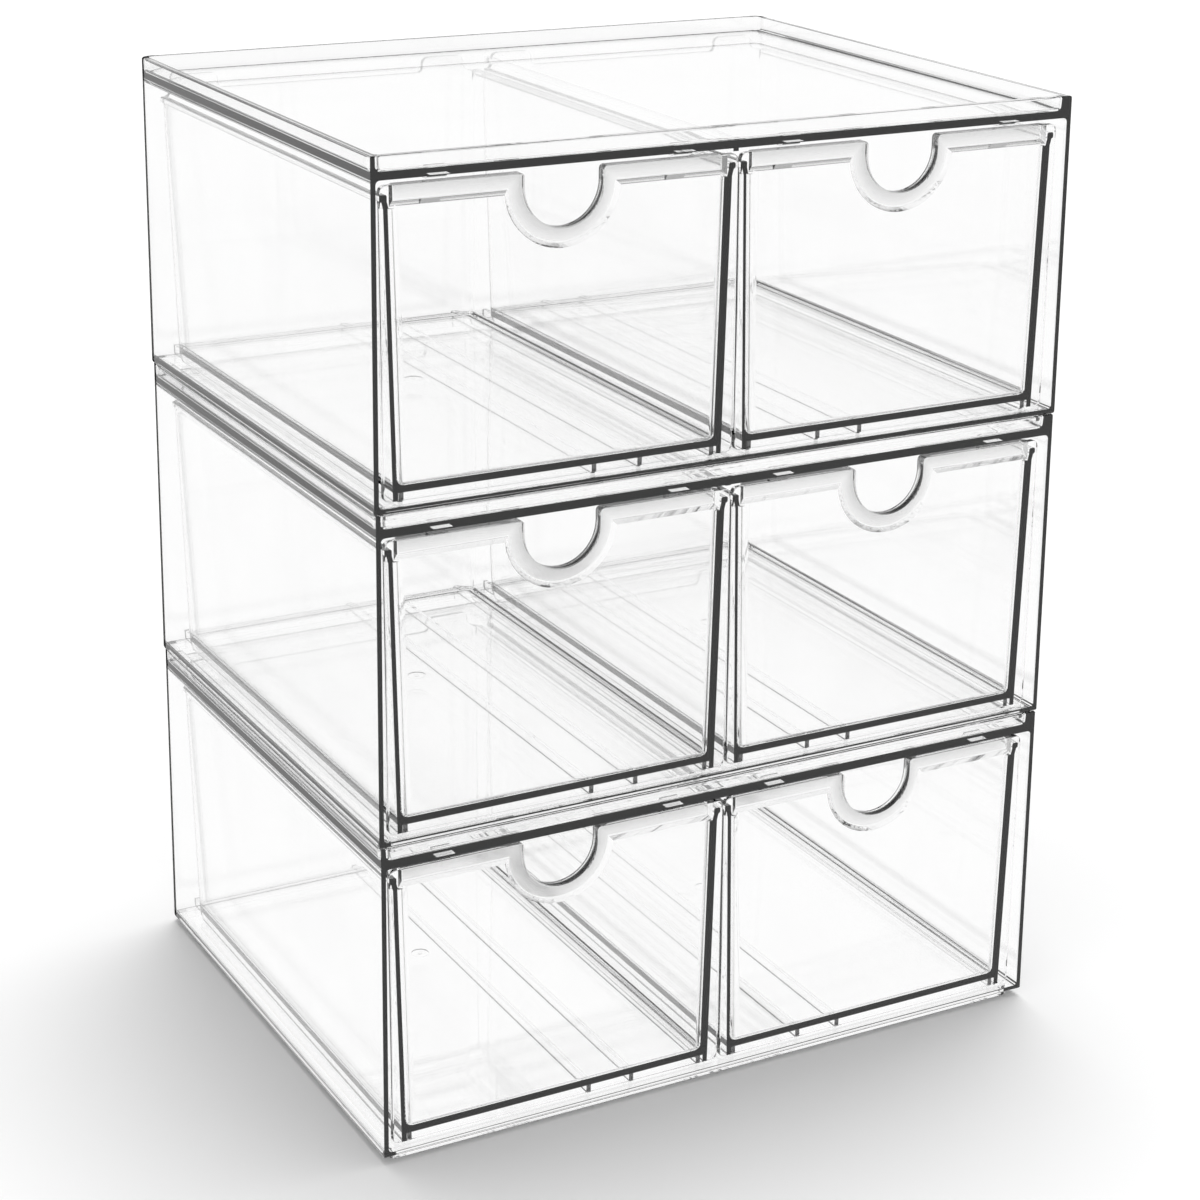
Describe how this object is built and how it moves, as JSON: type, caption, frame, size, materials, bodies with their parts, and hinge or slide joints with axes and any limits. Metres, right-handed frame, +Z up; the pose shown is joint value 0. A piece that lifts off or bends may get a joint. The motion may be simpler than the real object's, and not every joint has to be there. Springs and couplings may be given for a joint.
{
  "type": "stackable clear drawer organiser",
  "caption": "Clear plastic drawer cases stacked on a tray rim, each with side-by-side sliding drawers opened by a round finger notch.",
  "frame": {"origin": "on the standing surface, under the middle of the stack", "axes": "+Z up; the drawer fronts face -Y; +X to the right seen from the front"},
  "size_m": [0.31, 0.246, 0.4056],
  "materials": {
    "clear_case_plastic": "clear, polished as moulded",
    "clear_drawer_plastic": "clear, polished as moulded"
  },
  "bodies": {
    "bottom_case": {"bottom_case": "clear_case_plastic"},
    "bottom_left_drawer": {"bottom_left_drawer": "clear_drawer_plastic"},
    "bottom_right_drawer": {"bottom_right_drawer": "clear_drawer_plastic"},
    "middle_case": {"middle_case": "clear_case_plastic"},
    "middle_left_drawer": {"middle_left_drawer": "clear_drawer_plastic"},
    "middle_right_drawer": {"middle_right_drawer": "clear_drawer_plastic"},
    "top_case": {"top_case": "clear_case_plastic"},
    "top_left_drawer": {"top_left_drawer": "clear_drawer_plastic"},
    "top_right_drawer": {"top_right_drawer": "clear_drawer_plastic"}
  },
  "joints": [
    {"name": "bottom_left_drawer_slide", "type": "slide", "parent": "bottom_case", "child": "bottom_left_drawer", "axis": [0, -1, 0], "range_m": [0, 0.2245]},
    {"name": "bottom_right_drawer_slide", "type": "slide", "parent": "bottom_case", "child": "bottom_right_drawer", "axis": [0, -1, 0], "range_m": [0, 0.2245]},
    {"name": "middle_left_drawer_slide", "type": "slide", "parent": "middle_case", "child": "middle_left_drawer", "axis": [0, -1, 0], "range_m": [0, 0.2245]},
    {"name": "middle_right_drawer_slide", "type": "slide", "parent": "middle_case", "child": "middle_right_drawer", "axis": [0, -1, 0], "range_m": [0, 0.2245]},
    {"name": "top_left_drawer_slide", "type": "slide", "parent": "top_case", "child": "top_left_drawer", "axis": [0, -1, 0], "range_m": [0, 0.2245]},
    {"name": "top_right_drawer_slide", "type": "slide", "parent": "top_case", "child": "top_right_drawer", "axis": [0, -1, 0], "range_m": [0, 0.2245]},
    {"name": "middle_case_lift", "type": "slide", "parent": "bottom_case", "child": "middle_case", "axis": [0, 0, 1], "range_m": [0, 0.06]},
    {"name": "top_case_lift", "type": "slide", "parent": "middle_case", "child": "top_case", "axis": [0, 0, 1], "range_m": [0, 0.06]}
  ]
}
